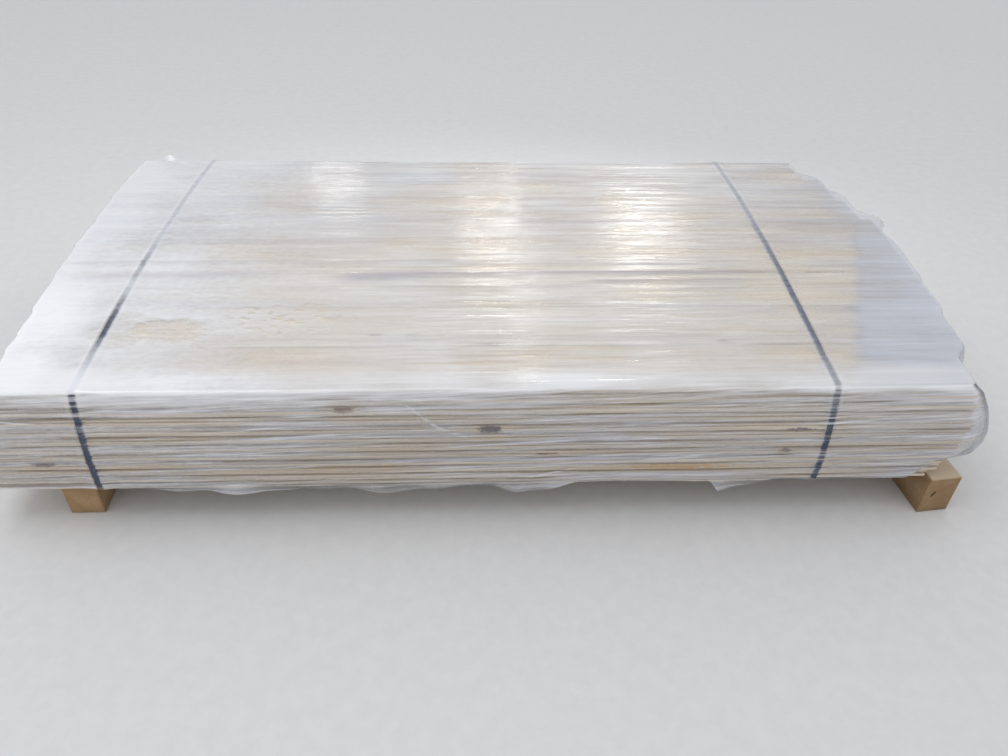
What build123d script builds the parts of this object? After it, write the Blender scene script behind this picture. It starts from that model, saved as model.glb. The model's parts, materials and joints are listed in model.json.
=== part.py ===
from build123d import *
from math import atan, cos, sin
import os

# A strapped and wrapped stack of tongue and groove boards on two loose bearers.
# Millimetres. X runs along the boards, Y from the front edge to the back edge, Z up.
# The origin is on the floor, under the middle of the wrapped stack.

# One board
cover_width = 135
board_thickness = 23
board_arris = 1.5
tongue_reach = 10
tongue_thickness = 6
tongue_drop = 1
tongue_nose = 1.5
groove_clearance = 0.5
groove_spare_depth = 1

# How the boards are stacked
column_count = 8
layer_count = 11
layer_gap = 0.5
joint_slack = 1.5
bulge_slack = 3.5
crown_rise = 25

# Boards of mixed lengths: the left ends lie level, and lean out towards the floor; the right ends
# stand out most in the middle columns and at mid height
left_end_x = -968
left_end_skew = -3
left_end_lean = 85
right_end_x = 944
right_bow = 90
right_bow_column = 3
right_bow_span = 4
right_arch = 40
right_arch_layer = 5.5
right_arch_span = 5.5
end_ragged = 6

# Bearers
bearer_width = 75
bearer_height = 105
bearer_arris = 2
left_bearer_length = 1060
left_bearer_x = -921
left_bearer_front = -528
right_bearer_length = 1100
right_bearer_x = 996
right_bearer_front = -564
right_bearer_angle = 6.7

# Straps
strap_width = 13
strap_thickness = 0.8
strap_stand_off = 1.5
strap_bend = 2
left_strap_x = -804
left_strap_yaw_angle = -0.5
left_strap_lean_angle = 4.1
right_strap_x = 730
right_strap_yaw_angle = -0.8
right_strap_lean_angle = -3.6
strap_plan_spare = 60

# Film: its left end leans with the boards, and its right end bows out with them, so that it is set
# back at the front and back corners
film_thickness = 1
film_gap = 0.4
film_length = 2190
film_corner = 3
film_hem = 2
film_peak_y = -80
film_front_set_back = 60
film_back_set_back = 95
film_plan_spare = 50

layer_pitch = board_thickness + layer_gap
corner_height = bearer_height + layer_count * layer_pitch - layer_gap
groove_depth = tongue_reach + groove_spare_depth
groove_height = tongue_thickness + 2 * groove_clearance

os.makedirs("parts", exist_ok=True)


def joint_pitch(layer):
    """Distance between the middles of two joined boards: the joints stand open most at mid height"""
    middle_layer = (layer_count - 1) / 2
    height = (layer - middle_layer) / middle_layer
    return cover_width + joint_slack + bulge_slack * (1 - height**2)


def half_depth(layer):
    """Half the depth of a layer, from the front grooves to the tips of the back tongues"""
    return ((column_count - 1) * joint_pitch(layer) + cover_width + tongue_reach) / 2


def left_end(layer, column):
    """Where a board starts along X"""
    lean = left_end_lean * (1 - layer / (layer_count - 1))
    return left_end_x - lean + left_end_skew * column + end_ragged * sin(3.1 * layer + 1.9 * column)


def right_end(layer, column):
    """Where a board stops along X"""
    bow = right_bow * (1 - ((column - right_bow_column) / right_bow_span) ** 2)
    arch = right_arch * (1 - ((layer - right_arch_layer) / right_arch_span) ** 2)
    return right_end_x + bow + arch + end_ragged * sin(2.4 * layer + 3.7 * column)


def board_end_plane(layer, column):
    """Plane of a board's left end: the layers rise towards their middle, and each board tilts with them"""
    pitch = joint_pitch(layer)
    from_middle = (column - (column_count - 1) / 2) * pitch
    half_span = column_count * pitch / 2
    rise = crown_rise * layer / (layer_count - 1)
    height = bearer_height + layer * layer_pitch + board_thickness / 2
    height += rise * (1 - (from_middle / half_span) ** 2)
    tilt = atan(-2 * rise * from_middle / half_span**2)
    return Plane(
        origin=(left_end(layer, column), from_middle - tongue_reach / 2, height),
        x_dir=(0, cos(tilt), sin(tilt)),
        z_dir=(1, 0, 0),
    )


def stack_section(stand_off, foot, goes_under):
    """Section across the strapped stack: bulging sides and a crowned top, standing off the boards"""
    side = half_depth(0) + stand_off
    bulge = half_depth((layer_count - 1) / 2) + stand_off
    top = corner_height + stand_off
    with BuildSketch() as section:
        with BuildLine():
            Line((-side, foot), (side, foot))
            ThreePointArc((side, foot), (bulge, (foot + top) / 2), (side, top))
            ThreePointArc((side, top), (0, top + crown_rise), (-side, top))
            ThreePointArc((-side, top), (-bulge, (foot + top) / 2), (-side, foot))
        make_face()
        corners = section.vertices() if goes_under else section.vertices().group_by(Axis.Y)[-1]
        fillet(corners, strap_bend + stand_off - strap_stand_off)
    return section.sketch


def wrapped_block(stand_off, length, foot, corner):
    """The whole stack as one rounded block: the film is what lies between two of these"""
    section = stack_section(stand_off, foot, goes_under=False)
    half_length = length / 2
    half_width = half_depth((layer_count - 1) / 2) + film_plan_spare
    front_right = (half_length - film_front_set_back, -half_width)
    back_right = (half_length - film_back_set_back, half_width)
    rise = layer_pitch * (layer_count - 1)
    left_end_plane = Plane(
        origin=(-half_length, 0, foot),
        x_dir=(left_end_lean, 0, rise),
        z_dir=(-rise, 0, left_end_lean),
    )
    with BuildPart() as block:
        with BuildSketch(Plane.YZ.offset(-half_length)):
            add(section)
        extrude(amount=length + film_plan_spare)
        with BuildSketch():
            with BuildLine():
                Polyline(back_right, (-half_length, half_width), (-half_length, -half_width), front_right)
                ThreePointArc(front_right, (half_length, film_peak_y), back_right)
            make_face()
        extrude(amount=corner_height + crown_rise + film_plan_spare, mode=Mode.INTERSECT)
        split(bisect_by=left_end_plane, keep=Keep.BOTTOM)
        ends = block.faces().sort_by(Axis.X)
        rims = ends[0].edges() + ends[-1].edges()
        fillet(rims.sort_by(Axis.Z)[2:], corner)
    return block.part


# Board: one flush rectangle, with the tongue on its +Y edge and the groove on its -Y edge
with BuildSketch() as board_section:
    Rectangle(cover_width, board_thickness)
    chamfer(board_section.vertices(), board_arris)
    with Locations((cover_width / 2, -tongue_drop)):
        Rectangle(tongue_reach, tongue_thickness, align=(Align.MIN, Align.CENTER))
    chamfer(board_section.vertices().group_by(Axis.X)[-1], tongue_nose)
    with Locations((-cover_width / 2, -tongue_drop)):
        Rectangle(groove_depth, groove_height, align=(Align.MIN, Align.CENTER), mode=Mode.SUBTRACT)

# Layers: eight boards each, tongue in groove with clearance
for layer in range(layer_count):
    with BuildPart() as board_layer:
        for column in range(column_count):
            with BuildSketch(board_end_plane(layer, column)):
                add(board_section.sketch)
            extrude(amount=right_end(layer, column) - left_end(layer, column))
    name = f"board_layer_{layer + 1:02d}"
    board_layer.part.label = name
    export_step(board_layer.part, f"parts/{name}.step")

# Left bearer, square under the stack
with BuildPart() as left_bearer:
    with Locations((left_bearer_x, left_bearer_front, 0)):
        Box(bearer_width, left_bearer_length, bearer_height, align=Align.MIN)
    chamfer(left_bearer.edges(), bearer_arris)
left_bearer.part.label = "left_bearer"
export_step(left_bearer.part, "parts/left_bearer.step")

# Right bearer, pushed askew, with its front end standing out of the stack
with BuildPart() as right_bearer:
    with Locations(Location((right_bearer_x, right_bearer_front, 0), (0, 0, right_bearer_angle))):
        Box(bearer_width, right_bearer_length, bearer_height, align=Align.MIN)
    chamfer(right_bearer.edges(), bearer_arris)
right_bearer.part.label = "right_bearer"
export_step(right_bearer.part, "parts/right_bearer.step")

# Straps: closed hoops, tight round the stack and flat under its lowest layer, each a little askew
strap_inside = stack_section(strap_stand_off, bearer_height, goes_under=True)
strap_outside = stack_section(
    strap_stand_off + strap_thickness, bearer_height - strap_thickness, goes_under=True
)
strap_middle_height = (bearer_height + corner_height) / 2
strap_slab_size = 2 * half_depth(0) + strap_plan_spare
for name, strap_x, yaw_angle, lean_angle in (
    ("left_strap", left_strap_x, left_strap_yaw_angle, left_strap_lean_angle),
    ("right_strap", right_strap_x, right_strap_yaw_angle, right_strap_lean_angle),
):
    with BuildPart() as strap:
        with BuildSketch(Plane.YZ.offset(strap_x - strap_plan_spare)):
            add(strap_outside)
            add(strap_inside, mode=Mode.SUBTRACT)
        extrude(amount=2 * strap_plan_spare)
        with Locations(Location((strap_x, 0, strap_middle_height), (0, lean_angle, yaw_angle))):
            Box(strap_width, strap_slab_size, strap_slab_size, mode=Mode.INTERSECT)
    strap.part.label = name
    export_step(strap.part, f"parts/{name}.step")

# Film: a skin over the straps, the top, the sides and both ends, open below
film_stand_off = strap_stand_off + strap_thickness + film_gap + film_thickness
film_foot = bearer_height + film_hem
film_outside = wrapped_block(film_stand_off, film_length, film_foot, film_corner)
film_inside = wrapped_block(
    film_stand_off - film_thickness,
    film_length - 2 * film_thickness,
    film_foot - film_thickness,
    film_corner - film_thickness,
)
with BuildPart() as film_wrap:
    add(film_outside)
    add(film_inside, mode=Mode.SUBTRACT)
film_wrap.part.label = "film_wrap"
export_step(film_wrap.part, "parts/film_wrap.step")
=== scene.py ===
import json
from math import cos, pi, radians, sin

import bpy
import numpy as np
from mathutils import Matrix, Vector

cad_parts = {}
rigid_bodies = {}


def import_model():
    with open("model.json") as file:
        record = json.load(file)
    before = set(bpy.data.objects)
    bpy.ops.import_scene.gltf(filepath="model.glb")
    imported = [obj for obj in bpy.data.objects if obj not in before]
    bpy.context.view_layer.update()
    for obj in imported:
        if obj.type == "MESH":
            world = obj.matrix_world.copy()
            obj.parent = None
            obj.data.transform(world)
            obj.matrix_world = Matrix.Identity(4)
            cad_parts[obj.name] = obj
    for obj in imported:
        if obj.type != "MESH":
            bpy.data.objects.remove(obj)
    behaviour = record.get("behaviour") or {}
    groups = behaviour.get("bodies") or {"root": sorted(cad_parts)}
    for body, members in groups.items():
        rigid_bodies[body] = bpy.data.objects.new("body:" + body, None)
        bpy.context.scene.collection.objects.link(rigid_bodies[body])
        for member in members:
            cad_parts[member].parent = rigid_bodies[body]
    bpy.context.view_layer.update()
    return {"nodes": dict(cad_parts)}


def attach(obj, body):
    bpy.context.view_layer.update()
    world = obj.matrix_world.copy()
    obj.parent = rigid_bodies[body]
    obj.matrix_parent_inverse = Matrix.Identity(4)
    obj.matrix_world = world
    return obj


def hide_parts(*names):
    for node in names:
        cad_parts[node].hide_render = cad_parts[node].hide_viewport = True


for left_over in list(bpy.data.objects):
    bpy.data.objects.remove(left_over)

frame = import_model()
nodes = frame["nodes"]
layer_names = sorted(name for name in nodes if name.startswith("board_layer"))

# Sizes that the frame doesn't state, in metres
BOARD_WIDTH = 0.145
COVER_WIDTH = 0.135
BOARD_THICKNESS = 0.023
BEARER_TURN = radians(6.7)

# The photograph's camera: its place, its yaw, pitch and roll, and its lens
CAMERA_AT = Vector((-0.0277, -1.7828, 1.3751))
CAMERA_TURNS = (0.0537, 0.6714, 0.0255)
FOCAL_PIXELS = 804
PICTURE_WIDTH = 1008
SENSOR_WIDTH = 36

# Light from the world: weak from the sides, so that upright faces are darker
SKY_AT_HORIZON = 0.51
SKY_OVERHEAD = 0.93
SKY_TINT = (0.985, 0.99, 1.0, 1)

# A large, soft lamp: place, aim, size and watts
KEY_LAMP = ((-1.2, -0.6, 3.8), (0, 0, 0.2), (2.6, 2.6), 36)

# Glare on the film: the place on the top (x, y) that mirrors a lamp, the lamp's size, and its watts.
# The film's ripples carry the glare up to 0.2 m further back than that place.
GLARE_SPOTS = (
    ((-0.40, 0.37), (0.24, 0.08), 0.45),
    ((0.090, 0.32), (0.08, 0.05), 0.16),
    ((0.020, 0.05), (0.26, 0.11), 1.50),
    ((0.090, -0.10), (0.22, 0.04), 0.40),
    ((0.090, -0.42), (0.14, 0.10), 0.40),
    ((0.402, 0.06), (0.25, 0.12), 1.05),
    ((0.412, 0.06), (0.44, 0.11), 1.00),
    ((0.440, -0.04), (0.32, 0.04), 0.40),
)
GLARE_TINT = (1.0, 0.965, 0.915)
GLARE_DISTANCE = 1.3

# Marks that the photograph shows: knots on the top (x, y) with their reach, and marks on the front:
# place (x, z), reach and colour
TOP_KNOTS = (
    (0.514, -0.404), (0.243, -0.069), (-0.155, -0.375),
    (-0.229, -0.375), (-0.67, 0.275), (-0.686, 0.389),
)
TOP_KNOT_REACH = (0.016, 0.005)
FRONT_MARKS = (
    ((0.012, 0.269), (0.026, 0.011), (0.05, 0.045, 0.06)),
    ((0.661, 0.260), (0.030, 0.006), (0.04, 0.03, 0.04)),
    ((0.642, 0.200), (0.014, 0.008), (0.20, 0.17, 0.16)),
    ((-0.907, 0.182), (0.024, 0.009), (0.17, 0.145, 0.14)),
    ((-0.283, 0.321), (0.024, 0.009), (0.20, 0.12, 0.085)),
    ((0.420, 0.152), (0.120, 0.010), (0.58, 0.36, 0.15)),
    ((-0.840, 0.308), (0.130, 0.003), (0.17, 0.10, 0.09)),
    ((0.130, 0.199), (0.026, 0.004), (0.24, 0.16, 0.11)),
)
RIGHT_BEARER_CRACK = (0.943, 0.057)
CRACK_REACH = (0.0042, 0.009)
CRACK_SLANT = 0.4

# Where the film clings to wet boards: place (x, y), reach, and how much clearer it is there; and where
# drops lie under it
WET_PATCHES = (
    ((-0.662, -0.362), (0.075, 0.036), 0.42),
    ((-0.770, -0.355), (0.060, 0.052), 0.26),
)
DROPS_AT, DROPS_REACH = (-0.425, -0.315), (0.12, 0.06)

# Creases that run along the film on the top: from and to (x, y), half width, depth of the fold
TOP_CREASES = (
    ((-1.00, -0.098), (0.10, -0.088), 0.005, 0.0018),
    ((-0.38, -0.152), (0.80, -0.140), 0.0070, 0.0024),
    ((-0.36, -0.162), (0.00, -0.150), 0.0180, 0.0026),
    ((-0.96, -0.160), (-0.40, -0.142), 0.0130, 0.0018),
    ((-0.96, -0.160), (-0.85, -0.128), 0.0110, 0.0030),
    ((0.03, 0.105), (0.61, 0.118), 0.005, 0.0014),
    ((-0.29, -0.205), (0.36, -0.200), 0.005, 0.0014),
    ((0.22, -0.180), (0.75, -0.176), 0.0060, 0.0022),
    ((0.40, -0.215), (0.80, -0.208), 0.005, 0.0016),
    ((0.66, -0.005), (0.95, 0.006), 0.0060, 0.0020),
)

# Edges and folds of the film on the front: from and to (x, z), half width, how milky
FRONT_FOLDS = (
    ((0.020, 0.108), (0.250, 0.172), 0.0052, 0.50),
    ((0.154, 0.164), (0.520, 0.200), 0.0056, 0.36),
    ((-0.230, 0.354), (-0.150, 0.338), 0.0060, 0.32),
    ((-0.165, 0.346), (-0.085, 0.274), 0.0085, 0.30),
    ((-0.115, 0.292), (-0.020, 0.248), 0.0068, 0.30),
    ((-0.190, 0.222), (0.300, 0.250), 0.0052, 0.50),
    ((-0.782, 0.252), (-0.300, 0.298), 0.005, 0.42),
    ((-1.020, 0.318), (-0.860, 0.296), 0.0045, 0.45),
)

# Film: how it lies on the boards, how finely its mesh is cut along x, y and z, how much finer beside a
# strap, and how far from a strap the mesh follows its slant
FILM_STAND_OFF = 0.0016
FILM_CORNER = 0.004
FILM_OVER_STRAP = 0.0031
FILM_STEPS = (0.01, 0.0056, 0.0052)
FINE_OFFSETS = (-0.016, -0.012, -0.0085, -0.0055, 0, 0.0055, 0.0085, 0.012, 0.016)
FINE_REACH = 0.020
STRAP_PULL = (0.03, 0.15)

# Film over the left (-1) and the right (1) end: how many grid steps it bridges between boards, and how
# far it is evened out there
END_GRID = 0.005
END_BRIDGING = {-1: (1, 0.9), 1: (5, 2.4)}

# Film below the front edge: loose folds as start, end and depth, and one pointed flap
HANGING_FOLDS = ((-0.823, -0.343, 0.020), (-0.453, -0.003, 0.024), (-0.103, 0.217, 0.030))
FLAP_START, FLAP_END, FLAP_DEPTH = 0.500, 0.640, 0.050

# The loose pouch at the right front corner: how far right it stands at each height
POUCH_HEIGHTS = (0.110, 0.143, 0.179, 0.217, 0.252, 0.314, 0.345, 0.372)
POUCH_REACHES = (0.999, 1.031, 1.057, 1.071, 1.065, 1.043, 1.025, 0.993)

# Folds that stand off the stack: on the top (x, y) and on the right end (y, z), with their reach
TOP_TUFT, TOP_TUFT_REACH = (-0.918, 0.548), (0.026, 0.014)
END_TUFT, END_TUFT_REACH = (0.125, 0.375), (0.038, 0.022)

# How fine the film's patterns are along x, y and z
STREAKS = (1.3, 130, 210)
RIPPLES = (2.2, 62, 85)
DASHES = (7, 20, 170)
BANDS = (2.2, 20, 55)
MOTTLE = (45, 75, 75)
CRUMPLE = (6, 40, 40)
JOINT_STRETCHES = (1.7, 1, 31)

# Tones of the film: on sides (painted lighter than the top, against their weaker light) and top, where it
# lies double, the painted shade in creases, where it is whitest, in its cold streaks, glints, the painted
# light along its top edge, and the painted light of lit wood where it bridges a joint's shade
FILM_SIDE_PAINTED_LIGHTER, FILM_TOP = (0.82, 0.815, 0.84), (0.775, 0.778, 0.795)
FILM_DOUBLED, FILM_CREASE_PAINTED_SHADE = (0.55, 0.585, 0.67), (0.40, 0.37, 0.42)
FILM_WHITE = (0.90, 0.92, 0.975)
FILM_COLD, FILM_GLINT, FILM_EDGE_PAINTED_LIGHT = (0.66, 0.675, 0.80), (0.92, 0.92, 0.96), (0.93, 0.93, 0.96)
FILM_JOINT_PAINTED_LIGHT = (0.66, 0.57, 0.45)

# Tones of the wood
BOARD_TONES = (
    (0.0, (0.67, 0.59, 0.47)),
    (0.25, (0.73, 0.68, 0.59)),
    (0.5, (0.70, 0.63, 0.52)),
    (0.7, (0.63, 0.56, 0.48)),
    (0.85, (0.68, 0.58, 0.43)),
    (1.0, (0.57, 0.51, 0.45)),
)
BOARD_RING, BOARD_BAND, BOARD_FIBRE = (0.54, 0.41, 0.27), (0.50, 0.39, 0.28), (0.42, 0.31, 0.21)
BOARD_STAIN, BOARD_PALE, BOARD_KNOT = (0.50, 0.39, 0.31), (0.82, 0.76, 0.66), (0.22, 0.12, 0.065)
TOP_KNOT = (0.20, 0.12, 0.08)
BEARER_TONES = (
    (0.25, (0.34, 0.210, 0.105)),
    (0.5, (0.44, 0.290, 0.155)),
    (0.75, (0.56, 0.400, 0.240)),
)
BEARER_RING, BEARER_FIBRE, BEARER_FOOT = (0.36, 0.18, 0.065), (0.26, 0.15, 0.075), (0.20, 0.125, 0.07)
# The first tone below is painted light for the bearers' upper faces
BEARER_TOP_PAINTED_LIGHT, BEARER_CRACK = (0.65, 0.54, 0.415), (0.035, 0.02, 0.012)
BOARD_RING_WIDTH = 0.0042
BEARER_RING_WIDTH = 0.0055

# Straps: tones, and the repeat of the pressed pattern
STRAP_TONE, STRAP_DUST = (0.010, 0.024, 0.072), (0.08, 0.13, 0.25)
STRAP_PATTERN = 0.004

# Floor
FLOOR_TONES = (0.655, 0.66, 0.67), (0.685, 0.69, 0.70)
FLOOR_REACH = 14

# How milky the film is over the left and the right strap: on the top (y, milk), on the sides (z, milk)
STRAP_HAZE = (
    (
        (
            (-0.52, 0.95), (-0.46, 0.62), (-0.38, 0.34), (-0.27, 0.36),
            (-0.20, 0.74), (-0.10, 0.48), (0.0, 0.68), (0.5, 0.72),
        ),
        ((0.11, 0.0), (0.20, 0.02), (0.26, 0.12), (0.34, 0.30), (0.37, 0.52)),
    ),
    (
        ((-0.52, 0.52), (-0.39, 0.26), (-0.16, 0.28), (0.0, 0.42), (0.15, 0.56), (0.50, 0.64)),
        ((0.11, 0.12), (0.25, 0.25), (0.34, 0.34), (0.37, 0.50)),
    ),
)


# Numbers


def hashed(i, j, seed):
    """A repeatable number from 0 to 1 for each whole-number place"""
    wave = np.sin(i * 127.1 + j * 311.7 + seed * 74.7) * 43758.5453
    return wave - np.floor(wave)


def value_noise(x, y, seed):
    """Smooth noise from 0 to 1 in two directions"""
    i, j = np.floor(x), np.floor(y)
    u, v = x - i, y - j
    u, v = u * u * (3 - 2 * u), v * v * (3 - 2 * v)
    low = hashed(i, j, seed) * (1 - u) + hashed(i + 1, j, seed) * u
    high = hashed(i, j + 1, seed) * (1 - u) + hashed(i + 1, j + 1, seed) * u
    return low * (1 - v) + high * v


def fractal(x, y, seed, octaves=3):
    """Noise with finer noise on it, from 0 to 1"""
    total, weight, size = 0, 1, 0
    for octave in range(octaves):
        total = total + weight * value_noise(x * 2**octave, y * 2**octave, seed + 13 * octave)
        size += weight
        weight *= 0.5
    return total / size


def ridge(x, y, seed, sharpness):
    """Thin lines where the noise crosses its middle, from 0 to 1"""
    return (1 - np.abs(2 * value_noise(x, y, seed) - 1)) ** sharpness


def ramp(x, start, end):
    """0 before start, 1 after end, smooth between; start may be the larger"""
    t = np.clip((x - start) / (end - start), 0, 1)
    return t * t * (3 - 2 * t)


def patch(x, y, centre, reach):
    """A soft spot: 1 at its centre, near 0 beyond its reach"""
    return np.exp(-(((x - centre[0]) / reach[0]) ** 2) - ((y - centre[1]) / reach[1]) ** 2)


# Boards as packed


def mesh_points(name):
    """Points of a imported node"""
    mesh = nodes[name].data
    points = np.empty(len(mesh.vertices) * 3)
    mesh.vertices.foreach_get("co", points)
    return points.reshape(-1, 3)


class Layer:
    """Where one layer's boards lie: its edges, the pitch of its joints, and each board's two ends"""

    def __init__(self, name):
        points = mesh_points(name)
        _, self.front, self.low = points.min(axis=0)
        _, self.back, self.high = points.max(axis=0)
        self.crown = self.high - self.low - BOARD_THICKNESS
        ends = np.unique(np.round(points[:, 0], 5))
        self.columns = len(ends) // 2
        self.pitch = (self.back - self.front - BOARD_WIDTH) / (self.columns - 1)
        self.left, self.right = np.zeros((2, self.columns))
        for end in ends:
            across = points[np.abs(points[:, 0] - end) < 2e-5, 1].mean()
            column = int(round((across - self.front - BOARD_WIDTH / 2) / self.pitch))
            (self.left if end < 0 else self.right)[column] = end


layers = [Layer(name) for name in layer_names]
stack_low = layers[0].low
layer_pitch = (layers[-1].low - stack_low) / (len(layers) - 1)
half_depth = layers[-1].back


def section_outline():
    """Convex outline across all boards, as (y, z) points: what a tight film round them follows"""
    points = np.vstack([mesh_points(name)[:, 1:] for name in layer_names])
    points = np.unique(np.round(points, 5), axis=0)

    def chain(ordered):
        kept = []
        for p in ordered:
            while len(kept) > 1:
                a, b = kept[-2], kept[-1]
                if (b[0] - a[0]) * (p[1] - a[1]) - (b[1] - a[1]) * (p[0] - a[0]) > 0:
                    break
                kept.pop()
            kept.append(p)
        return np.array(kept)

    return np.vstack([chain(points), chain(points[::-1])])


outline = section_outline()
corner_high = layers[-1].low + BOARD_THICKNESS


def side_line(sign, z):
    """How far the front (-1) or back (1) of the stack stands out at a height"""
    side = outline[(outline[:, 1] < corner_high + 0.001) & (sign * outline[:, 0] > 0.5)]
    side = side[np.argsort(side[:, 1])]
    return np.interp(z, side[:, 1], side[:, 0])


def top_line(y):
    """Height of the stack's crowned top"""
    top = outline[outline[:, 1] > corner_high - 0.003]
    top = top[np.argsort(top[:, 0])]
    return np.interp(y, top[:, 0], top[:, 1])


def moved(table, reach, axis):
    """Copies of a table, moved along one axis by each whole step within reach"""
    padding = [(reach, reach) if k == axis else (0, 0) for k in (0, 1)]
    padded = np.pad(table, padding, mode="edge")
    return [np.take(padded, range(k, k + table.shape[axis]), axis) for k in range(2 * reach + 1)]


def blur(table, reach, axis):
    """Evens a table out along one axis"""
    width = int(3 * reach) + 1
    weights = np.exp(-0.5 * (np.arange(-width, width + 1) / reach) ** 2)
    weights /= weights.sum()
    return sum(w * m for w, m in zip(weights, moved(table, width, axis)))


def outermost(table, reach, axis):
    """Each place takes the largest value within its reach along one axis"""
    return np.max(moved(table, reach, axis), axis=0)


def layer_at(y, z):
    """Number of the layer that lies at a place across the crowned stack"""
    rise = layers[-1].crown / (len(layers) - 1) * (1 - (y / half_depth) ** 2)
    return np.clip((z - stack_low) / (layer_pitch + rise), 0, len(layers) - 1).astype(int)


class EndSkin:
    """The film over one end of the stack: it bridges from board to board and never cuts into one"""

    def __init__(self, sign):
        self.ys = np.arange(-0.60, 0.6001, END_GRID)
        self.zs = np.arange(0.10, 0.4001, END_GRID)
        y, z = np.meshgrid(self.ys, self.zs)
        number = layer_at(y, z)
        front, pitch = np.array([(layer.front, layer.pitch) for layer in layers]).T[:, number]
        column = np.clip((y - front) / pitch, 0, layers[0].columns - 1).astype(int)
        ends = np.array([layer.right if sign > 0 else layer.left for layer in layers])
        raw = outermost(outermost(sign * ends[number, column], 1, 0), 1, 1)
        bridge, rounding = END_BRIDGING[sign]
        bridged = outermost(outermost(raw, bridge, 1), 3, 0)
        self.sign = sign
        self.table = np.maximum(raw, blur(blur(bridged, rounding, 1), 2.0, 0))

    def at(self, y, z):
        """How far out along X the skin lies"""
        i = np.clip((z - self.zs[0]) / END_GRID, 0, len(self.zs) - 1.001)
        j = np.clip((y - self.ys[0]) / END_GRID, 0, len(self.ys) - 1.001)
        i0, j0 = i.astype(int), j.astype(int)
        u, v = i - i0, j - j0
        low = self.table[i0, j0] * (1 - v) + self.table[i0, j0 + 1] * v
        high = self.table[i0 + 1, j0] * (1 - v) + self.table[i0 + 1, j0 + 1] * v
        return self.sign * (low * (1 - u) + high * u)


def strap_plane(name):
    """A strap's middle along X as base + across * y + up * z: the straps lie a little askew"""
    points = mesh_points(name)
    terms = np.column_stack([np.ones(len(points)), points[:, 1], points[:, 2]])
    return np.linalg.lstsq(terms, points[:, 0], rcond=None)[0].tolist()


def over_strap(points, plane, reach, power):
    """1 over the middle of a strap, falling to 0 beyond reach"""
    x, y, z = points.T
    base, across, up = plane
    return np.exp(-(((x - base - across * y - up * z) / reach) ** power))


strap_planes = [strap_plane(name) for name in ("left_strap", "right_strap")]
strap_places = [base + up * (stack_low + corner_high) / 2 for base, across, up in strap_planes]


# Film shape


def lines(half, step, finer_at=(), from_zero=False):
    """Grid lines from one edge to the other, closer together at the rounded edges and the straps"""
    high = half - FILM_CORNER
    low = 0 if from_zero else -high
    inner = np.linspace(low, high, int(round((high - low) / step)) + 1)
    inner = inner[[all(abs(place - at) > FINE_REACH for at in finer_at) for place in inner]]
    finer = [at + offset for at in finer_at for offset in FINE_OFFSETS]
    inner = np.sort(np.concatenate([inner, finer]))
    rim = [half - FILM_CORNER * k for k in (0.68, 0.36, 0)]
    start = [] if from_zero else [-k for k in rim[::-1]]
    return np.concatenate([start, inner, rim])


def box_skin(half_x, half_y, high):
    """Points and four-sided faces of a box open below, cut by the grid lines"""
    along, across, up = FILM_STEPS
    xs = lines(half_x, along, strap_places)
    ys = lines(half_y, across)
    zs = lines(high, up, from_zero=True)
    points, faces = [], []

    def add_side(us, vs, axis, at, flip):
        """The side that crosses an axis at one place"""
        start = sum(len(p) for p in points)
        u, v = np.meshgrid(us, vs, indexing="ij")
        points.append(np.insert(np.stack([u.ravel(), v.ravel()], 1), axis, at, axis=1))
        index = start + np.arange(len(us) * len(vs)).reshape(len(us), len(vs))
        quads = [index[:-1, :-1], index[1:, :-1], index[1:, 1:], index[:-1, 1:]]
        quads = np.stack([q.ravel() for q in (quads[::-1] if flip else quads)], axis=1)
        faces.append(quads)

    add_side(xs, zs, 1, -half_y, False)
    add_side(xs, zs, 1, half_y, True)
    add_side(xs, ys, 2, high, False)
    add_side(ys, zs, 0, -half_x, True)
    add_side(ys, zs, 0, half_x, False)
    points, faces = np.vstack(points), np.vstack(faces)
    _, first, back = np.unique(np.round(points, 6), axis=0, return_index=True, return_inverse=True)
    return points[first], back.ravel()[faces]


def normals_of(points, faces):
    """Smooth normals at the points"""
    a, b, c, d = (points[faces[:, k]] for k in range(4))
    flat = np.cross(c - a, d - b)
    total = np.zeros_like(points)
    for k in range(4):
        np.add.at(total, faces[:, k], flat)
    return total / np.maximum(np.linalg.norm(total, axis=1, keepdims=True), 1e-12)


def hanging(x):
    """How far the film's lower edge hangs below the stack along the front, in metres"""
    depth = 0.003 * fractal(x * 5, x * 0 + 3, 41)
    for start, end, most in HANGING_FOLDS:
        hump = ramp(x, start, start + 0.14) * ramp(x, end, end - 0.10)
        depth = np.maximum(depth, most * hump * (0.8 + 0.4 * fractal(x * 3, x * 0, 43, 2)))
    flap = np.clip(np.minimum((x - FLAP_START) / 0.03, (FLAP_END - x) / 0.095), 0, 1)
    return np.maximum(depth, FLAP_DEPTH * flap)


def second_layer(x, y):
    """Share of a second layer of film, which starts along a slanting seam near the right end"""
    seam = 0.930 + 0.37 * y + 0.02 * fractal(x * 8, y * 12, 34)
    return ramp(x, seam, seam + 0.045) * ramp(y, 0.09, 0.03)


def low_right(x, z):
    """Share of the folds that come down over the lower board ends at the right front corner"""
    return ramp(x, 0.82, 0.93) * ramp(z, 0.20, 0.14)


FILM_ATTRIBUTES = ("milk", "chill", "shade", "end")


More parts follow.
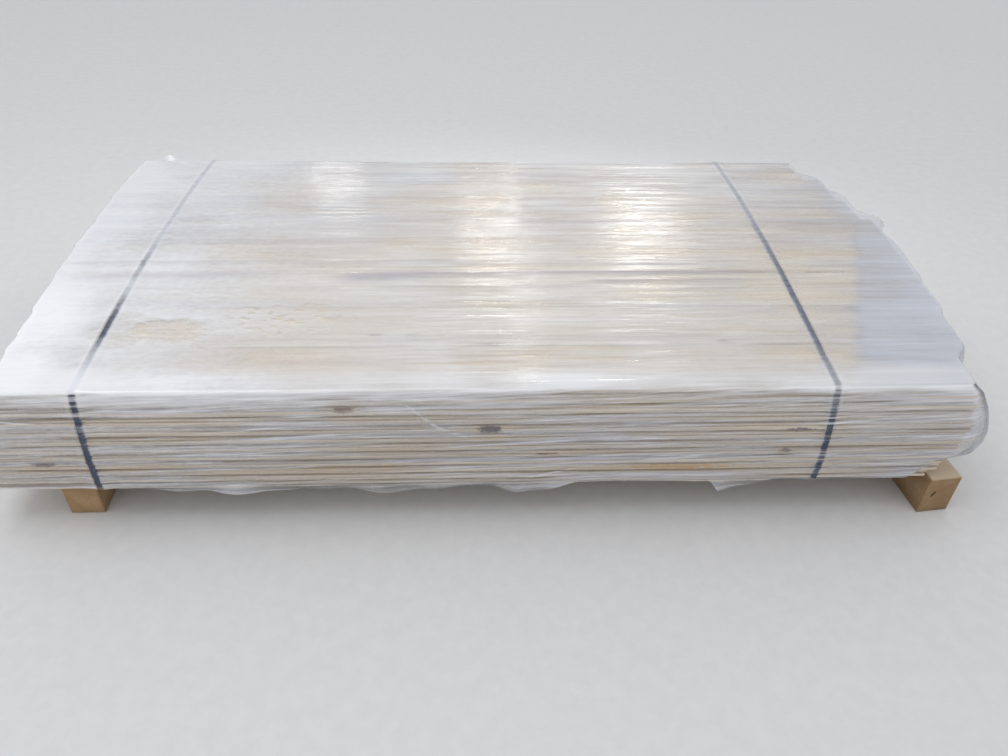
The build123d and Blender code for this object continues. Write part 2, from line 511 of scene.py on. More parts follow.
class Film:
    """The film's points and faces, bent from a box to the stack, and its look at each point: milk says how
    much it hides, chill how blue-grey it is, shade where painted shade darkens a crease, and end what lies
    on an end"""

    # Half length, half depth and height of the box, and the part of its length that stays straight
    SIZE = np.array((1.09, 0.555, 0.27))
    STRAIGHT_LEFT, STRAIGHT_RIGHT = -0.88, 0.83

    def __init__(self):
        self.points, self.faces = box_skin(*self.SIZE)
        self.bend_to_stack()
        self.lift_off()
        self.fill_pouch()
        self.stand_tufts()
        self.hang_edge()
        self.milk = self.milkiness()
        self.chill = self.bluishness()
        # Painted shade in the creases on the top
        self.shade = np.clip(420 * self.crease * self.on_top, 0, 1)
        self.end = self.on_end

    def bend_to_stack(self):
        """Lays the box on the stack: rounded edges, bulging sides, crowned top and uneven ends"""
        size = self.SIZE
        inner = np.clip(self.points, FILM_CORNER - size, size - FILM_CORNER)
        out = self.points - inner
        out /= np.linalg.norm(out, axis=1, keepdims=True)
        s, t, h = ((inner + FILM_CORNER * out) / size).T
        self.along, self.up = s, h
        z_side = stack_low + h * (corner_high - stack_low)
        front, back = side_line(-1, z_side), side_line(1, z_side)
        y = front + (back - front) * (t + 1) / 2
        front_top, back_top = side_line(-1, corner_high), side_line(1, corner_high)
        y_top = front_top + (back_top - front_top) * (t + 1) / 2
        z = stack_low + h * (top_line(y_top) - stack_low)
        left, right = EndSkin(-1).at(y, z), EndSkin(1).at(y, z)
        straight = s * size[0]
        x = straight
        sides = (self.STRAIGHT_LEFT, -size[0], left), (self.STRAIGHT_RIGHT, size[0], right)
        for start, rim, end in sides:
            share = np.clip((straight - start) / (rim - start), 0, 1)
            x = np.where(share > 0, start + share * (end - start), x)
        for place, (base, across, up) in zip(strap_places, strap_planes):
            near = 1 - ramp(np.abs(straight - place), *STRAP_PULL)
            x += near * (base + across * y + up * z - place)
        self.points = np.stack([x, y, z], 1)
        self.on_end, self.on_side, self.on_top = (out**2).T
        self.on_front = self.on_side * (t < 0)

    def lift_off(self):
        """Stands the film off the boards: more over the straps, and in long creases"""
        x, y, z = self.points.T
        proud = np.zeros_like(x)
        for plane in strap_planes:
            proud += FILM_OVER_STRAP * over_strap(self.points, plane, 0.022, 2)
        along = 0.0010 * ridge(x * 1.3, y * 42, 3, 3) + 0.0006 * value_noise(x * 2.2, y * 95, 5)
        broad = 0.0026 * fractal(x * 3.1, y * 6.5, 7, 2)
        self.crease = self.top_creases()
        on_sides = 0.0009 * ridge(x * 1.1, (z - 0.03 * x) * 60, 11, 3)
        on_sides += 0.0014 * ridge(x * 2.0 + 0.5, (z + 0.05 * x) * 26, 12, 5)
        height = self.on_top * (along + broad + self.crease) + self.on_side * on_sides
        normals = normals_of(self.points, self.faces)
        self.points += normals * (FILM_STAND_OFF + proud + height)[:, None]
        tuck = 0.003 * fractal(y * 7 + 2 * z, z * 9, 17, 2)
        tuck += 0.0012 * ridge(y * 19 - 6 * z, z * 5 + y, 19, 3)
        self.points[:, 0] += np.sign(x) * self.on_end * tuck

    def top_creases(self):
        """Height of the creases on the top"""
        x, y, _ = self.points.T
        height = np.zeros_like(x)
        for (x0, y0), (x1, y1), half_width, depth in TOP_CREASES:
            wander = 0.004 * (fractal(x * 7, x * 0 + y0, 71, 2) - 0.5)
            middle = y0 + (y1 - y0) * (x - x0) / (x1 - x0) + wander
            share = ramp(x, x0, x0 + 0.08) * ramp(x, x1, x1 - 0.20)
            height = np.maximum(height, depth * share * np.exp(-(((y - middle) / half_width) ** 2)))
        return height

    def fill_pouch(self):
        """Draws the right front corner out, and lifts the film's foot there off the lowest board ends"""
        x, y, z = self.points.T
        share = ramp(y, -0.22, -0.49) * ramp(self.along, 0.9, 1.0)
        ripple = 0.006 * (fractal(y * 12 + 3 * z, z * 14, 61, 2) - 0.5)
        target = np.interp(z, POUCH_HEIGHTS, POUCH_REACHES) + ripple
        self.pouch = share * ramp(z, 0.10, 0.16)
        self.points[:, 0] += np.maximum(target - x, 0) * share * ramp(self.along, 0.955, 0.999)
        self.points[:, 1] += 0.020 * share * ramp(self.along, 0.97, 1.0) * self.on_front
        lifted = ramp(self.along, 0.92, 0.985) * ramp(y, -0.42, -0.5) * ramp(z, 0.19, 0.11)
        self.points[:, 2] += 0.036 * lifted

    def stand_tufts(self):
        """Stands a fold of film off the stack at the back left, and one on the right end"""
        x, y, z = self.points.T
        peak = patch(x, y, TOP_TUFT, TOP_TUFT_REACH) * ramp(self.up, 0.9, 1.0)
        self.points[:, 2] += 0.026 * peak
        flap = patch(y, z, END_TUFT, END_TUFT_REACH) * ramp(self.along, 0.985, 1.0)
        self.points[:, 0] += (0.026 + 0.018 * fractal(y * 60, z * 60, 63, 2)) * flap
        self.tuft = np.maximum(peak, flap)

    def hang_edge(self):
        """Lets the lower edge along the front hang loose, in folds"""
        x, y, z = self.points.T
        low_part = np.clip(1 - self.up / 0.10, 0, 1) * self.on_front
        self.drop = hanging(x) * low_part
        below = np.clip(stack_low - (z - self.drop), 0, 1)
        fold = np.sin(x * 44 + 5 * fractal(x * 4, z * 9, 23)) * 0.4 + np.sin(x * 19 + 2) * 0.6
        self.points[:, 2] -= self.drop
        self.points[:, 1] += below * (0.25 + 0.45 * fold) - 0.001 * low_part

    def milkiness(self):
        """How much the film hides what is under it: 0 clear, 1 white"""
        milk = self.on_top * self.top_milk() + self.on_side * self.side_milk()
        milk += self.on_end * self.end_milk()
        x, y, z = self.points.T
        hanging_part = ramp(self.drop, 0.001, 0.004) * ramp(z, stack_low + 0.002, stack_low - 0.002)
        milk += (0.50 + 0.60 * (fractal(x * 12, z * 60, 57) - 0.5) - milk) * hanging_part
        milk += 0.15 * self.tuft * self.on_top - 0.10 * self.tuft * self.on_end
        for plane, (top_haze, side_haze) in zip(strap_planes, STRAP_HAZE):
            haze = self.on_top * np.interp(y, *zip(*top_haze))
            haze += self.on_side * np.interp(z, *zip(*side_haze))
            milk += over_strap(self.points, plane, 0.0078, 4) * (haze - milk)
        return np.clip(milk, 0.02, 0.95)

    def top_milk(self):
        """Clouds and streaks, whiter at the left, the back, the front edge and the ends, and more opaque in
        creases to carry their painted shade
        """
        x, y, _ = self.points.T
        cloud = fractal(x * 5.5, y * 9, 31, 4)
        streak = fractal(x * 2.2, y * 48, 33, 3)
        plain_left = ramp(x, -0.05, -0.50)
        milk = 0.50 + (0.50 - 0.15 * plain_left) * (cloud - 0.5)
        milk += (0.26 - 0.14 * plain_left) * (streak - 0.5)
        milk += 0.24 * ramp(x, -0.39, -0.79) + 0.08 * ramp(y, 0.1, 0.5) + 0.10 * ramp(x, -0.82, -0.90)
        milk += 0.22 * second_layer(x, y)
        edge = 0.500 - 0.016 * fractal(x * 2.4, x * 0, 35) - 0.03 * ramp(x, -0.79, -0.94)
        milk += (0.30 - 0.12 * plain_left) * ramp(-y, edge - 0.03, edge + 0.035)
        milk += 0.12 * ramp(x, -0.89, -0.98) + 0.10 * ramp(x, 0.94, 1.02)
        return milk + 60 * self.crease

    def side_milk(self):
        """Broad bands, whiter where it is gathered under the top edge, at the foot and by the ends"""
        x, y, z = self.points.T
        broad = fractal(x * 2.1, (z - 0.04 * x) * 13, 51, 3)
        milk = 0.37 + 0.50 * (broad - 0.5) + 0.08 * ramp(x, 0.1, 0.5)
        gathered = 0.345 - 0.03 * ramp(x, 0.1, -0.3) * fractal(x * 3, x * 0, 55, 2)
        milk += 0.45 * ramp(z, gathered, gathered + 0.022) + 0.12 * ramp(z, 0.125, 0.106)
        milk += 0.08 * ramp(np.abs(self.along), 0.90, 1.0) + 0.25 * low_right(x, z)
        for centre, reach, _ in FRONT_MARKS:
            over = patch(x, z, centre, (1.8 * reach[0], 2.0 * reach[1]))
            milk += over * (0.04 - milk) * 0.85 * (y < 0)
        return milk

    def bluishness(self):
        """Most where the film lies double, in cold streaks, over straps, in the pouch and the loose edge"""
        x, y, z = self.points.T
        cold = ramp(fractal(x * 0.9, (z - 0.05 * x) * 34, 81, 3), 0.48, 0.66)
        sides = 0.10 + 0.40 * cold * (1 - 0.85 * ramp(z, 0.28, 0.33)) + 0.5 * low_right(x, z)
        streaks = fractal(x * 1.1, y * 30, 83, 3)
        top = (0.60 + 0.60 * streaks) * second_layer(x, y) + 0.30 * ramp(streaks, 0.50, 0.68)
        top += (0.20 + 0.15 * ramp(y, -0.2, 0.0)) * ramp(x, 0.0, -0.5) + 0.35 * ramp(x, 0.62, 0.90)
        top += 0.6 * patch(x, y, (0.88, 0.065), (0.16, 0.060)) + 0.35 * ramp(x, 0.90, 1.0)
        top += 0.28 * ramp(y, -0.15, 0.10) * ramp(x, -0.55, -0.40) * ramp(x, 0.42, 0.20)
        top *= 1 - 0.6 * ramp(y, -0.46, -0.51)
        ends = 0.55 + 0.35 * self.pouch
        loose = 0.6 * ramp(z, stack_low + 0.002, stack_low - 0.002)
        chill = self.on_side * sides + self.on_top * top + self.on_end * ends
        for plane in strap_planes:
            chill = np.maximum(chill, 0.9 * over_strap(self.points, plane, 0.0085, 4))
        return np.clip(np.maximum(chill, loose), 0, 1)

    def end_milk(self):
        """Clouds, and whiter in the pouch"""
        _, y, z = self.points.T
        milk = 0.40 + 0.3 * (fractal(y * 9, z * 14, 53, 3) - 0.5)
        return milk + self.pouch * (0.10 + 0.25 * ramp(z, 0.27, 0.36))


# Materials


class Nodes:
    """A node tree, with short calls for the nodes that the looks and the world share"""

    def __init__(self, tree):
        self.tree = tree

    def node(self, kind, *values, **settings):
        """A new node with its settings, and its first inputs linked or set to the values"""
        made = self.tree.nodes.new("ShaderNode" + kind)
        for key, setting in settings.items():
            setattr(made, key, setting)
        for socket, value in zip(made.inputs, values):
            self.put(socket, value)
        return made

    def put(self, socket, value):
        if isinstance(value, bpy.types.NodeSocket):
            self.tree.links.new(value, socket)
        else:
            socket.default_value = value

    def fill(self, node, **values):
        """Links or sets a node's inputs by name"""
        for key, value in values.items():
            self.put(node.inputs[key.replace("_", " ")], value)

    def place(self):
        return self.node("TexCoord").outputs["Object"]

    def parts(self, vector):
        return self.node("SeparateXYZ", vector).outputs

    def vector(self, x, y, z):
        return self.node("CombineXYZ", x, y, z).outputs[0]

    def math(self, operation, *values):
        return self.node("Math", *values, operation=operation).outputs[0]

    def plus(self, a, b):
        return self.math("ADD", a, b)

    def minus(self, a, b):
        return self.math("SUBTRACT", a, b)

    def times(self, a, b):
        return self.math("MULTIPLY", a, b)

    def times_plus(self, a, b, c):
        return self.math("MULTIPLY_ADD", a, b, c)

    def apart(self, a, b):
        return self.math("ABSOLUTE", self.minus(a, b))

    def length(self, a, b):
        return self.math("SQRT", self.plus(self.times(a, a), self.times(b, b)))

    def wave(self, value, period):
        return self.math("SINE", self.times(value, 2 * pi / period))

    def mapped(self, vector, scale=(1, 1, 1), turn=(0, 0, 0)):
        made = self.node("Mapping")
        self.fill(made, Vector=vector, Scale=scale, Rotation=turn)
        return made.outputs[0]

    def noise(self, vector, detail, roughness=0.5):
        made = self.node("TexNoise")
        self.fill(made, Vector=vector, Scale=1.0, Detail=detail, Roughness=roughness)
        return made.outputs["Fac"]

    def pattern(self, vector, scale, detail, roughness=0.5):
        """Noise that is as fine as scale says along x, y and z"""
        return self.noise(self.mapped(vector, scale), detail, roughness)

    def range(self, value, low, high, to_low=0.0, to_high=1.0):
        """A smooth change from to_low at low to to_high at high"""
        stops = (low, high, to_low, to_high)
        return self.node("MapRange", value, *stops, interpolation_type="SMOOTHSTEP").outputs[0]

    def spot(self, across, along, centre, reach, ragged, edge=(0.4, 1.3)):
        """A small mark with a broken outline: 1 inside it, 0 outside"""
        u = self.math("DIVIDE", self.minus(across, centre[0]), reach[0])
        v = self.math("DIVIDE", self.minus(along, centre[1]), reach[1])
        far = self.plus(self.times(u, u), self.times(v, v))
        far = self.times_plus(self.minus(ragged, 0.5), 2.6, far)
        return self.range(far, *edge, 1.0, 0.0)

    def colours(self, value, stops):
        made = self.node("ValToRGB", value)
        band = made.color_ramp.elements
        while len(band) < len(stops):
            band.new(0.5)
        for element, (at, colour) in zip(band, stops):
            element.position = at
            element.color = (*colour, 1)
        return made.outputs[0]

    def blend(self, amount, a, b, kind="MIX"):
        made = self.node("Mix", amount, data_type="RGBA", blend_type=kind)
        for socket, value in ((made.inputs[6], a), (made.inputs[7], b)):
            self.put(socket, (*value, 1) if isinstance(value, tuple) else value)
        return made.outputs[2]


class Surface(Nodes):
    """One material and its shader"""

    def __init__(self, name):
        self.material = bpy.data.materials.new(name)
        self.material.use_nodes = True
        super().__init__(self.material.node_tree)
        self.shader = self.tree.nodes["Principled BSDF"]

    def bump(self, height, distance, strength):
        made = self.node("Bump")
        self.fill(made, Height=height, Distance=distance, Strength=strength)
        self.fill(self.shader, Normal=made.outputs[0])

    def set(self, **values):
        self.fill(self.shader, **values)
        return self.material


class BoardLook(Surface):
    """Planed softwood with growth rings, knots and a tone of its own for each board of one layer"""

    def __init__(self, layer, number):
        super().__init__(f"board_wood_{number + 1:02d}")
        self.layer = layer
        self.x, self.y, self.z = self.parts(self.place())
        column = self.math("FLOOR", self.math("DIVIDE", self.minus(self.y, layer.front), layer.pitch))
        seed = self.vector(column, float(number), 3.7)
        self.chance, chance_colour = self.node("TexWhiteNoise", seed, noise_dimensions="3D").outputs
        chance_along, self.chance_pith, self.chance_deep = self.parts(chance_colour)

        # Place within the board, moved by chance so that no two boards share a grain
        self.far = self.times_plus(chance_along, 40.0, self.x)
        middle = self.times_plus(column, layer.pitch, layer.front + COVER_WIDTH / 2)
        self.across = self.minus(self.y, middle)
        grain = self.vector(self.far, self.y, self.z)
        self.fibres = self.pattern(grain, (7, 420, 420), 3.0, 0.6)
        self.bands = self.pattern(grain, (1.4, 55, 75), 3.0, 0.55)
        self.stains = self.pattern(grain, (4.5, 30, 120), 2.0, 0.6)
        self.knot = self.knot_distance()

    def knot_distance(self):
        """How far the nearest knot is: knots lie long along the board"""
        cells = self.node("TexVoronoi")
        place = self.vector(
            self.times(self.far, 2.6),
            self.times(self.across, 11.0),
            self.times_plus(self.z, 11.0, self.times(self.chance_pith, 9.0)),
        )
        self.fill(cells, Vector=place, Scale=1.0, Randomness=0.9)
        return cells.outputs["Distance"]

    def rings(self):
        """Growth rings round a wandering pith; knots bend them"""
        up = self.minus(self.z, (self.layer.low + self.layer.high) / 2)
        slow = self.vector(self.times(self.far, 1.1), self.times(self.across, 3.0), self.chance_pith)
        wander = self.noise(slow, 2.0)
        pith = self.times_plus(self.chance_pith, 0.10, -0.05)
        side = self.plus(self.across, self.times_plus(wander, 0.05, pith))
        deep = self.plus(up, self.times_plus(self.chance_deep, 0.05, 0.012))
        swirl = self.range(self.knot, 0.0, 0.32, 0.010, 0.0)
        radius = self.plus(self.length(side, deep), swirl)
        return self.range(self.wave(radius, BOARD_RING_WIDTH), -0.3, 1.0)

    def tone(self):
        tone = self.colours(self.chance, BOARD_TONES)
        tone = self.blend(self.times(self.rings(), 0.26), tone, BOARD_RING)
        tone = self.blend(self.range(self.bands, 0.42, 0.72, 0.0, 0.42), tone, BOARD_BAND)
        tone = self.blend(self.range(self.fibres, 0.35, 0.75, 0.0, 0.22), tone, BOARD_FIBRE)
        tone = self.blend(self.range(self.stains, 0.52, 0.70, 0.0, 0.45), tone, BOARD_STAIN)
        tone = self.blend(self.range(self.stains, 0.48, 0.34, 0.0, 0.40), tone, BOARD_PALE)
        return self.blend(self.range(self.knot, 0.045, 0.10, 0.80, 0.0), tone, BOARD_KNOT)

    def marked(self, tone):
        """Adds the knots on the top and the marks on the front that fall on this layer"""
        layer = self.layer
        if layer is layers[-1]:
            for centre in TOP_KNOTS:
                mark = self.spot(self.x, self.y, centre, TOP_KNOT_REACH, self.bands)
                tone = self.blend(self.times(mark, 0.75), tone, TOP_KNOT)
        speckle = self.pattern(self.place(), (120, 120, 190), 1.0)
        on_front = self.range(self.y, layer.front + 0.002, layer.front + 0.004, 0.85, 0.0)
        for centre, reach, colour in FRONT_MARKS:
            if layer.low - reach[1] < centre[1] < layer.low + BOARD_THICKNESS + reach[1]:
                mark = self.spot(self.x, self.z, centre, reach, speckle)
                tone = self.blend(self.times(mark, on_front), tone, colour)
        return tone

    def finished(self):
        self.bump(self.fibres, 0.0004, 0.6)
        return self.set(
            Base_Color=self.marked(self.tone()),
            Roughness=self.range(self.bands, 0.2, 0.8, 0.50, 0.68),
        )


class BearerLook(Surface):
    """Rough sawn timber: ochre, blotched, with painted light on its upper face, saw marks and growth rings
    """

    def __init__(self, name, turn, heart, level):
        super().__init__(name)
        place = self.mapped(self.place(), turn=(0, 0, -turn))
        self.x, self.y, self.z = self.parts(place)
        fibres = self.pattern(place, (330, 9, 330), 3.0, 0.6)
        self.blotch = self.pattern(place, (22, 9, 22), 4.0, 0.65)
        saw = self.pattern(place, (8, 260, 30), 2.0)
        self.bump(self.plus(self.times(saw, 0.8), fibres), 0.0009, 0.7)
        wander = self.pattern(place, (6, 1.2, 6), 2.0)
        side = self.minus(self.times_plus(wander, 0.03, self.x), heart)
        radius = self.length(side, self.plus(self.z, 0.035))
        rings = self.range(self.wave(radius, BEARER_RING_WIDTH), -0.4, 1.0)
        tone = self.colours(self.blotch, BEARER_TONES)
        tone = self.blend(self.times(rings, 0.22), tone, BEARER_RING)
        tone = self.blend(self.range(fibres, 0.4, 0.75, 0.0, 0.45), tone, BEARER_FIBRE)
        tone = self.blend(self.range(self.z, 0.0, 0.035, 0.35, 0.0), tone, BEARER_FOOT)
        tone = self.blend(1.0, tone, (level, level, level), "MULTIPLY")
        # Painted light: upper faces get a lighter tone
        upward = self.parts(self.node("NewGeometry").outputs["Normal"])[2]
        self.tone = self.blend(self.range(upward, 0.5, 0.9, 0.0, 0.8), tone, BEARER_TOP_PAINTED_LIGHT)

    def crack(self):
        """A short drying crack in the front end"""
        at_x, at_z = RIGHT_BEARER_CRACK
        leaning = self.times_plus(self.z, -CRACK_SLANT, self.x)
        centre = (at_x - CRACK_SLANT * at_z, at_z)
        crack = self.spot(leaning, self.z, centre, CRACK_REACH, self.blotch)
        front_only = self.range(self.y, -0.66, -0.655, 0.9, 0.0)
        self.tone = self.blend(self.times(crack, front_only), self.tone, BEARER_CRACK)

    def finished(self):
        return self.set(Base_Color=self.tone, Roughness=0.74, Specular_IOR_Level=0.3)


def strap_plastic():
    """Dark plastic band with a pressed diamond pattern, dusty"""
    surface = Surface("strap_plastic_look")
    place = surface.place()
    x, y, z = surface.parts(place)
    run = surface.plus(y, z)
    first = surface.wave(surface.plus(x, run), STRAP_PATTERN)
    second = surface.wave(surface.minus(x, run), STRAP_PATTERN)
    surface.bump(surface.times(first, second), 0.0003, 0.8)
    dust = surface.pattern(place, (60, 110, 110), 3.0, 0.6)
    return surface.set(
        Base_Color=surface.blend(surface.range(dust, 0.45, 0.8, 0.0, 0.35), STRAP_TONE, STRAP_DUST),
        Roughness=surface.range(dust, 0.3, 0.8, 0.34, 0.55),
        Specular_IOR_Level=0.3,
    )


class FilmLook(Surface):
    """Stretch film: clear where it clings, milky where air and folds lie under it, glossy all over"""

    def __init__(self):
        super().__init__("clear_film_look")
        self.point = self.place()
        self.x, self.y, self.z = self.parts(self.point)
        self.milk, self.chill, self.shade, self.end = (
            self.node("Attribute", attribute_name=name).outputs["Fac"] for name in FILM_ATTRIBUTES
        )
        normal = self.parts(self.node("NewGeometry").outputs["Normal"])
        self.flat = self.range(self.math("ABSOLUTE", normal[2]), 0.35, 0.75)
        self.calm = self.range(self.end, 0.0, 1.0, 1.0, 0.2)
        self.side = self.times(self.range(self.math("ABSOLUTE", normal[1]), 0.45, 0.80), self.calm)
        wave = self.pattern(self.point, (3, 3, 14), 2.0)
        slanted = self.times_plus(self.x, -0.03, self.z)
        self.waved_z = self.times_plus(wave, 0.010, self.z)
        waved = self.vector(self.x, self.y, self.times_plus(wave, 0.010, slanted))
        self.streaks = self.pattern(waved, STREAKS, 3.0, 0.6)
        self.ripples = self.pattern(waved, RIPPLES, 2.0, 0.6)
        self.dashes = self.pattern(waved, DASHES, 2.0, 0.6)
        self.bands = self.pattern(waved, BANDS, 3.0, 0.6)
        self.mottle = self.pattern(self.point, MOTTLE, 2.0, 0.65)
        self.crumple = self.pattern(self.point, CRUMPLE, 1.0, 0.6)

    def swing(self, amount, noise, strength):
        """Adds noise about its middle"""
        return self.times_plus(self.minus(noise, 0.5), strength, amount)

    def streaked(self, amount):
        """Long streaks, stronger to the right of the middle and on the sides; mottled on the left"""
        streaky = self.times(self.range(self.x, -0.45, 0.05, 0.16, 0.42), self.calm)
        side = self.times(self.side, self.range(self.milk, 0.06, 0.20))
        amount = self.swing(amount, self.streaks, streaky)
        amount = self.swing(amount, self.bands, self.times(side, 1.7))
        amount = self.swing(amount, self.dashes, self.times(side, 0.9))
        return self.swing(amount, self.mottle, self.range(self.x, -0.25, -0.65, 0.08, 0.30))

    def fold_line(self, start, end, half_width):
        """A thin line on the front, from one place (x, z) to another: 1 on it, 0 beside it"""
        slope = (end[1] - start[1]) / (end[0] - start[0])
        middle = self.times_plus(self.x, slope, start[1] - slope * start[0])
        line = self.range(self.apart(self.waved_z, middle), 0.0, half_width, 1.0, 0.0)
        fade = (end[0] - start[0]) / 4
        line = self.times(line, self.range(self.x, start[0], start[0] + fade))
        return self.times(line, self.range(self.x, end[0] - fade, end[0], 1.0, 0.0))

    def folded(self, amount):
        """Edges and folds on the front"""
        on_front = self.times(self.side, self.range(self.y, -0.50, -0.53))
        broken = self.times(on_front, self.range(self.dashes, 0.38, 0.58, 0.25, 1.0))
        for start, end, half_width, milky in FRONT_FOLDS:
            line = self.fold_line(start, end, half_width)
            amount = self.times_plus(self.times(line, broken), milky, amount)
        return amount

    def over_joints(self):
        """Stretches where the film bridges the joint between two layers, and carries painted light there: a
        lit wood tone over the joint's shade
        """
        level = self.math("DIVIDE", self.minus(self.z, stack_low), layer_pitch)
        from_middle = self.apart(self.math("FRACT", level), 0.5)
        near = self.times(self.range(from_middle, 0.36, 0.47), self.side)
        near = self.times(near, self.range(self.milk, 0.06, 0.20))
        near = self.times(near, self.range(self.z, 0.340, 0.350, 1.0, 0.0))
        stretch = self.pattern(self.point, JOINT_STRETCHES, 1.0, 0.6)
        return self.times(near, self.range(stretch, 0.40, 0.56))

    def wetted(self, amount):
        """Patches where the film clings to wet boards, and drops"""
        ragged = self.pattern(self.point, (28, 55, 1), 4.0, 0.65)
        for centre, reach, clear in WET_PATCHES:
            wet = self.spot(self.x, self.y, centre, reach, ragged, (0.1, 1.9))
            amount = self.times_plus(wet, -clear, amount)
        drops = self.noise(self.mapped(self.point, (34, 80, 1), turn=(0, 0, 0.30)), 1.0)
        near = self.spot(self.x, self.y, DROPS_AT, DROPS_REACH, ragged, (0.0, 1.6))
        drops = self.times(self.range(drops, 0.50, 0.68), near)
        return self.times_plus(drops, -0.26, amount)

    def strap_distance(self):
        """Distance along X from the nearer strap's middle"""
        offs = []
        for base, across, up in strap_planes:
            middle = self.times_plus(self.y, across, self.times_plus(self.z, up, base))
            offs.append(self.apart(self.x, middle))
        return self.math("MINIMUM", *offs)

    def beside_straps(self, amount):
        """Air beside a strap turns the film milky"""
        off = self.strap_distance()
        beside = self.times(self.range(off, 0.0055, 0.0080), self.range(off, 0.009, 0.018, 1.0, 0.0))
        over = self.range(off, 0.005, 0.0075, 1.0, 0.0)
        amount = self.swing(amount, self.dashes, self.times(self.times(over, self.side), 0.6))
        return self.times_plus(beside, 0.07, amount)

    def top_tone(self, tone):
        """On the top: whiter at the left and the front edge, greyer at the back and the right"""
        uneven_y = self.swing(self.y, self.mottle, 0.05)
        to_front = self.range(uneven_y, -0.16, -0.26, 0.12, 0.75)
        white_left = self.times(self.range(self.x, -0.83, -0.91), to_front)
        to_left = self.range(self.x, -0.35, -0.65, 0.10, 0.35)
        front_band = self.times(self.range(uneven_y, -0.455, -0.520), to_left)
        white = self.times(self.math("MAXIMUM", white_left, front_band), self.flat)
        tone = self.blend(white, tone, FILM_WHITE)
        paler = self.times(self.range(self.x, 0.0, -0.55, 0.0, 0.26), self.flat)
        tone = self.blend(paler, tone, FILM_WHITE)
        back_dim = self.range(self.y, -0.2, 0.5, 1.0, 0.86)
        dim = self.times(back_dim, self.range(self.x, 0.2, 0.65, 1.0, 0.90))
        return self.blend(self.flat, tone, self.vector(dim, dim, dim), "MULTIPLY")

    def tone(self):
        """Colour of the film, with cold streaks, glints and painted light along the upper edge of its sides
        """
        # Sides get a lighter tone than the top: painted light to offset their weaker light
        tone = self.blend(self.flat, FILM_SIDE_PAINTED_LIGHTER, FILM_TOP)
        tone = self.blend(self.chill, tone, FILM_DOUBLED)
        # Painted shade darkens the creases
        tone = self.top_tone(self.blend(self.times(self.shade, 0.9), tone, FILM_CREASE_PAINTED_SHADE))
        for value, low, high, most, colour in (
            (self.bands, 0.5, 0.68, 0.6, FILM_COLD),
            (self.dashes, 0.54, 0.67, 0.7, FILM_GLINT),
            # Painted light along the top edge of the sides
            (self.z, 0.340, 0.368, 0.8, FILM_EDGE_PAINTED_LIGHT),
        ):
            share = self.times(self.range(value, low, high), self.side)
            tone = self.blend(self.times(share, most), tone, colour)
        return tone

    def relief(self):
        """Fine ripples and a crumpled feel, calmer on the left and on the ends"""
        fine = self.times_plus(self.ripples, 1.2, self.times(self.streaks, 0.6))
        fine = self.times(fine, self.range(self.x, -0.55, -0.05, 0.6, 1.0))
        fine = self.times(fine, self.calm)
        self.bump(self.times_plus(self.crumple, 1.1, fine), 0.0021, 0.8)

    def finished(self):
        # Where the film bridges a joint it is more opaque and carries painted light, a lit wood tone over
        # the joint's shade
        bridged = self.over_joints()
        amount = self.times_plus(bridged, 0.40, self.streaked(self.milk))
        amount = self.beside_straps(self.wetted(self.folded(amount)))
        self.relief()
        return self.set(
            Base_Color=self.blend(bridged, self.tone(), FILM_JOINT_PAINTED_LIGHT),
            Roughness=self.range(self.streaks, 0.3, 0.7, 0.11, 0.22),
            IOR=1.49,
            Specular_IOR_Level=1.0,
            Alpha=self.range(amount, 0.0, 1.0, 0.07, 0.94),
        )


def floor_paint():
    surface = Surface("floor_paint")
    grain = surface.pattern(surface.place(), (30, 30, 30), 4.0, 0.6)
    tone = surface.blend(surface.range(grain, 0.3, 0.7), *FLOOR_TONES)
    return surface.set(Base_Color=tone, Roughness=0.8)


# Pieces


def new_piece(name, points, faces, material):
    mesh = bpy.data.meshes.new(name)
    mesh.from_pydata(points, [], faces)
    mesh.shade_smooth()
    mesh.materials.append(material)
    piece = bpy.data.objects.new(name, mesh)
    bpy.context.scene.collection.objects.link(piece)
    return piece


def dress(node, material):
    """Gives a carried-over CAD node its material"""
    nodes[node].material_slots[0].material = material


for number, (name, layer) in enumerate(zip(layer_names, layers)):
    dress(name, BoardLook(layer, number).finished())
left_look = BearerLook("left_bearer_wood", 0.0, heart=-0.853, level=0.93)
right_look = BearerLook("right_bearer_wood", BEARER_TURN, heart=0.947, level=0.77)
right_look.crack()
dress("left_bearer", left_look.finished())
dress("right_bearer", right_look.finished())
strap_look = strap_plastic()
dress("left_strap", strap_look)
dress("right_strap", strap_look)

film_shape = Film()
points, faces = film_shape.points.tolist(), film_shape.faces.tolist()
film = new_piece("stretch_film", points, faces, FilmLook().finished())
for attribute_name in FILM_ATTRIBUTES:
    attribute = film.data.attributes.new(attribute_name, "FLOAT", "POINT")
    attribute.data.foreach_set("value", getattr(film_shape, attribute_name))
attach(film, "root")
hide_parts("film_wrap")


# Floor, light and camera


def make_floor():
    corners = [(FLOOR_REACH * a, FLOOR_REACH * b, 0) for a, b in ((-1, -1), (1, -1), (1, 1), (-1, 1))]
    floor = new_piece("floor", corners, [(0, 1, 2, 3)], floor_paint())


def make_lamp(name, at, aim, size, watts, colour=(1, 1, 1)):
    lamp = bpy.data.lights.new(name, "AREA")
    lamp.shape = "ELLIPSE"
    lamp.size, lamp.size_y = size
    lamp.energy = watts
    lamp.color = colour
    holder = bpy.data.objects.new(name, lamp)
    holder.location = at
    holder.rotation_euler = (Vector(aim) - Vector(at)).to_track_quat("-Z", "Y").to_euler()
    bpy.context.scene.collection.objects.link(holder)


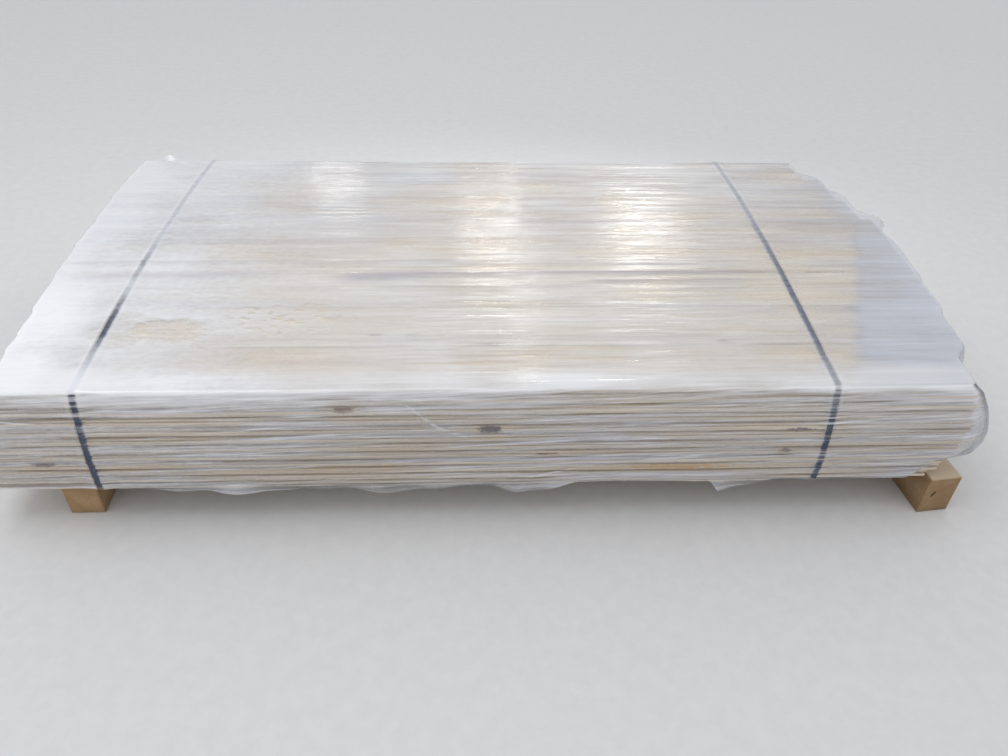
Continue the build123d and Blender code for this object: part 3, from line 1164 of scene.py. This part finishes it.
def make_glare(name, place, size, watts):
    """A lamp behind the stack that the camera sees mirrored in the crowned top at one place"""
    x, y = place
    at_mirror = Vector((x, y, float(top_line(y))))
    step = 0.01
    slope = float(top_line(y + step) - top_line(y - step)) / (2 * step)
    normal = Vector((0, -slope, 1)).normalized()
    ray = (at_mirror - CAMERA_AT).normalized()
    mirrored = ray - 2 * ray.dot(normal) * normal
    make_lamp(name, at_mirror + GLARE_DISTANCE * mirrored, at_mirror, size, watts, GLARE_TINT)


def make_world():
    """Soft light from above, and plain white wherever the camera or a reflection sees it"""
    world = bpy.data.worlds.new("studio")
    bpy.context.scene.world = world
    world.use_nodes = True
    sky = Nodes(world.node_tree)
    rays = sky.node("LightPath").outputs
    seen = sky.math("MAXIMUM", rays["Is Camera Ray"], rays["Is Glossy Ray"])
    seen = sky.math("MAXIMUM", seen, rays["Is Transmission Ray"])
    up = sky.parts(sky.node("TexCoord").outputs["Generated"])[2]
    light = sky.node("MapRange", up, 0.0, 1.0, SKY_AT_HORIZON, SKY_OVERHEAD).outputs[0]
    strength = sky.node("Mix", seen)
    sky.put(strength.inputs[2], light)
    sky.put(strength.inputs[3], 1.0)
    sky.fill(sky.tree.nodes["Background"], Strength=strength.outputs[0], Color=SKY_TINT)


def make_camera():
    yaw, pitch, roll = CAMERA_TURNS
    ahead = Vector((sin(yaw) * cos(pitch), cos(yaw) * cos(pitch), -sin(pitch)))
    level = Vector((cos(yaw), -sin(yaw), 0))
    up = level.cross(ahead)
    right = cos(roll) * level + sin(roll) * up
    top = -sin(roll) * level + cos(roll) * up
    data = bpy.data.cameras.new("camera")
    data.sensor_width = SENSOR_WIDTH
    data.lens = FOCAL_PIXELS * SENSOR_WIDTH / PICTURE_WIDTH
    camera = bpy.data.objects.new("camera", data)
    turn = Matrix((right, top, -ahead)).transposed()
    camera.matrix_world = Matrix.Translation(CAMERA_AT) @ turn.to_4x4()
    bpy.context.scene.collection.objects.link(camera)
    bpy.context.scene.camera = camera


make_floor()
make_world()
make_lamp("key", *KEY_LAMP)
for number, glare in enumerate(GLARE_SPOTS):
    make_glare(f"glare_{number + 1}", *glare)
make_camera()
bpy.context.scene.view_settings.view_transform = "Standard"
